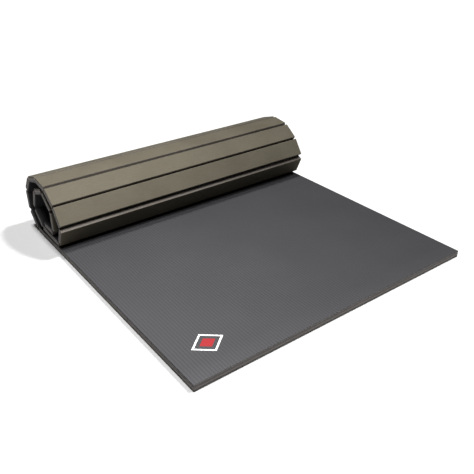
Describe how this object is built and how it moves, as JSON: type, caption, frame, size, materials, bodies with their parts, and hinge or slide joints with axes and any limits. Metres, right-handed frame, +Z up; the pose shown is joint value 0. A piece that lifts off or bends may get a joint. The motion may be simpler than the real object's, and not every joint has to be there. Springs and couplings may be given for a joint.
{
  "type": "roll-out gym mat",
  "caption": "Roll-out gym mat: a grey vinyl cover over foam cut into slats by full-width slits, lying flat with its far end rolled up on top.",
  "frame": {"origin": "on the floor, at the middle of the mat's outline as it lies, flat part and roll together", "axes": "+X along the slats across the mat, +Y from the front edge towards the rolled end, +Z up"},
  "size_m": [1.524, 1.5776, 0.3371],
  "materials": {
    "foam": "matte",
    "cover": "satin"
  },
  "bodies": {
    "slats_13_to_15": {"foam_slat_13": "foam", "foam_slat_14": "foam", "foam_slat_15": "foam", "cover_strip_13_to_15": "cover"},
    "slat_01": {"foam_slat_01": "foam", "cover_strip_01": "cover"},
    "slat_02": {"foam_slat_02": "foam", "cover_strip_02": "cover"},
    "slat_03": {"foam_slat_03": "foam", "cover_strip_03": "cover"},
    "slat_04": {"foam_slat_04": "foam", "cover_strip_04": "cover"},
    "slat_05": {"foam_slat_05": "foam", "cover_strip_05": "cover"},
    "slat_06": {"foam_slat_06": "foam", "cover_strip_06": "cover"},
    "slat_07": {"foam_slat_07": "foam", "cover_strip_07": "cover"},
    "slat_08": {"foam_slat_08": "foam", "cover_strip_08": "cover"},
    "slat_09": {"foam_slat_09": "foam", "cover_strip_09": "cover"},
    "slat_10": {"foam_slat_10": "foam", "cover_strip_10": "cover"},
    "slat_11": {"foam_slat_11": "foam", "cover_strip_11": "cover"},
    "slat_12": {"foam_slat_12": "foam", "cover_strip_12": "cover"},
    "slat_16": {"foam_slat_16": "foam", "cover_strip_16": "cover"},
    "slat_17": {"foam_slat_17": "foam", "cover_strip_17": "cover"},
    "slat_18": {"foam_slat_18": "foam", "cover_strip_18": "cover"},
    "slat_19": {"foam_slat_19": "foam", "cover_strip_19": "cover"},
    "slat_20": {"foam_slat_20": "foam", "cover_strip_20": "cover"},
    "slat_21": {"foam_slat_21": "foam", "cover_strip_21": "cover"},
    "slat_22": {"foam_slat_22": "foam", "cover_strip_22": "cover"},
    "slat_23": {"foam_slat_23": "foam", "cover_strip_23": "cover"},
    "slat_24": {"foam_slat_24": "foam", "cover_strip_24": "cover"},
    "slat_25": {"foam_slat_25": "foam", "cover_strip_25": "cover"},
    "slat_26": {"foam_slat_26": "foam", "cover_strip_26": "cover"},
    "slat_27": {"foam_slat_27": "foam", "cover_strip_27": "cover"},
    "slat_28": {"foam_slat_28": "foam", "cover_strip_28": "cover"},
    "slat_29": {"foam_slat_29": "foam", "cover_strip_29": "cover"},
    "slat_30": {"foam_slat_30": "foam", "cover_strip_30": "cover"},
    "slat_31": {"foam_slat_31": "foam", "cover_strip_31": "cover"}
  },
  "joints": [
    {"name": "slit_12", "type": "hinge", "parent": "slats_13_to_15", "child": "slat_12", "pos_m": [0, 0.3909, 0.03175], "axis": [-1, 0, 0], "range_deg": [0, 47]},
    {"name": "slit_11", "type": "hinge", "parent": "slat_12", "child": "slat_11", "pos_m": [0, 0.29258, 0.03175], "axis": [-1, 0, 0], "range_deg": [0, 46]},
    {"name": "slit_10", "type": "hinge", "parent": "slat_11", "child": "slat_10", "pos_m": [0, 0.19425, 0.03175], "axis": [-1, 0, 0], "range_deg": [0, 36]},
    {"name": "slit_09", "type": "hinge", "parent": "slat_10", "child": "slat_09", "pos_m": [0, 0.09593, 0.03175], "axis": [-1, 0, 0], "range_deg": [0, 21]},
    {"name": "slit_08", "type": "hinge", "parent": "slat_09", "child": "slat_08", "pos_m": [0, -0.00239, 0.03175], "axis": [-1, 0, 0], "range_deg": [0, 19]},
    {"name": "slit_07", "type": "hinge", "parent": "slat_08", "child": "slat_07", "pos_m": [0, -0.10071, 0.03175], "axis": [-1, 0, 0], "range_deg": [0, 18]},
    {"name": "slit_06", "type": "hinge", "parent": "slat_07", "child": "slat_06", "pos_m": [0, -0.19904, 0.03175], "axis": [-1, 0, 0], "range_deg": [0, 25]},
    {"name": "slit_05", "type": "hinge", "parent": "slat_06", "child": "slat_05", "pos_m": [0, -0.29736, 0.03175], "axis": [-1, 0, 0], "range_deg": [0, 30]},
    {"name": "slit_04", "type": "hinge", "parent": "slat_05", "child": "slat_04", "pos_m": [0, -0.39568, 0.03175], "axis": [-1, 0, 0], "range_deg": [0, 31]},
    {"name": "slit_03", "type": "hinge", "parent": "slat_04", "child": "slat_03", "pos_m": [0, -0.49401, 0.03175], "axis": [-1, 0, 0], "range_deg": [0, 33]},
    {"name": "slit_02", "type": "hinge", "parent": "slat_03", "child": "slat_02", "pos_m": [0, -0.59233, 0.03175], "axis": [-1, 0, 0], "range_deg": [0, 32]},
    {"name": "slit_01", "type": "hinge", "parent": "slat_02", "child": "slat_01", "pos_m": [0, -0.69065, 0.03175], "axis": [-1, 0, 0], "range_deg": [0, 31]},
    {"name": "unroll_slit_15", "type": "hinge", "parent": "slats_13_to_15", "child": "slat_16", "pos_m": [0, 0.68587, 0.03175], "axis": [1, 0, 0], "range_deg": [-45, 0]},
    {"name": "slit_16", "type": "hinge", "parent": "slat_16", "child": "slat_17", "pos_m": [0, 0.75539, 0.10127], "axis": [1, 0, 0], "range_deg": [-44, 0]},
    {"name": "slit_17", "type": "hinge", "parent": "slat_17", "child": "slat_18", "pos_m": [0, 0.75711, 0.19958], "axis": [1, 0, 0], "range_deg": [-39, 0]},
    {"name": "slit_18", "type": "hinge", "parent": "slat_18", "child": "slat_19", "pos_m": [0, 0.69657, 0.27706], "axis": [1, 0, 0], "range_deg": [-35, 0]},
    {"name": "slit_19", "type": "hinge", "parent": "slat_19", "child": "slat_20", "pos_m": [0, 0.60255, 0.30581], "axis": [1, 0, 0], "range_deg": [-24, 0]},
    {"name": "slit_20", "type": "hinge", "parent": "slat_20", "child": "slat_21", "pos_m": [0, 0.50496, 0.29383], "axis": [1, 0, 0], "range_deg": [-29, 0]},
    {"name": "slit_21", "type": "hinge", "parent": "slat_21", "child": "slat_22", "pos_m": [0, 0.42541, 0.23603], "axis": [1, 0, 0], "range_deg": [-20, 0]},
    {"name": "slit_22", "type": "hinge", "parent": "slat_22", "child": "slat_23", "pos_m": [0, 0.37043, 0.15452], "axis": [1, 0, 0], "range_deg": [-58, 0]},
    {"name": "slit_23", "type": "hinge", "parent": "slat_23", "child": "slat_24", "pos_m": [0, 0.41042, 0.0647], "axis": [1, 0, 0], "range_deg": [-67, 0]},
    {"name": "slit_24", "type": "hinge", "parent": "slat_24", "child": "slat_25", "pos_m": [0, 0.50873, 0.06641], "axis": [1, 0, 0], "range_deg": [-2, 0]},
    {"name": "slit_25", "type": "hinge", "parent": "slat_25", "child": "slat_26", "pos_m": [0, 0.60692, 0.07156], "axis": [1, 0, 0], "range_deg": [-40, 0]},
    {"name": "slit_26", "type": "hinge", "parent": "slat_26", "child": "slat_27", "pos_m": [0, 0.67883, 0.13862], "axis": [1, 0, 0], "range_deg": [-70, 0]},
    {"name": "slit_27", "type": "hinge", "parent": "slat_27", "child": "slat_28", "pos_m": [0, 0.64041, 0.22912], "axis": [1, 0, 0], "range_deg": [-47, 0]},
    {"name": "slit_28", "type": "hinge", "parent": "slat_28", "child": "slat_29", "pos_m": [0, 0.54802, 0.26275], "axis": [1, 0, 0], "range_deg": [-60, 0]},
    {"name": "slit_29", "type": "hinge", "parent": "slat_29", "child": "slat_30", "pos_m": [0, 0.4727, 0.19955], "axis": [1, 0, 0], "range_deg": [-51, 0]},
    {"name": "slit_30", "type": "hinge", "parent": "slat_30", "child": "slat_31", "pos_m": [0, 0.47441, 0.10124], "axis": [1, 0, 0], "range_deg": [-90, 0]}
  ],
  "couplings": [
    {"joint": "slit_16", "follows": "unroll_slit_15", "ratio": 0.97778},
    {"joint": "slit_17", "follows": "unroll_slit_15", "ratio": 0.86667},
    {"joint": "slit_18", "follows": "unroll_slit_15", "ratio": 0.77778},
    {"joint": "slit_19", "follows": "unroll_slit_15", "ratio": 0.53333},
    {"joint": "slit_20", "follows": "unroll_slit_15", "ratio": 0.64444},
    {"joint": "slit_21", "follows": "unroll_slit_15", "ratio": 0.44444},
    {"joint": "slit_22", "follows": "unroll_slit_15", "ratio": 1.2889},
    {"joint": "slit_23", "follows": "unroll_slit_15", "ratio": 1.4889},
    {"joint": "slit_24", "follows": "unroll_slit_15", "ratio": 0.044444},
    {"joint": "slit_25", "follows": "unroll_slit_15", "ratio": 0.88889},
    {"joint": "slit_26", "follows": "unroll_slit_15", "ratio": 1.5556},
    {"joint": "slit_27", "follows": "unroll_slit_15", "ratio": 1.0444},
    {"joint": "slit_28", "follows": "unroll_slit_15", "ratio": 1.3333},
    {"joint": "slit_29", "follows": "unroll_slit_15", "ratio": 1.1333},
    {"joint": "slit_30", "follows": "unroll_slit_15", "ratio": 2}
  ]
}
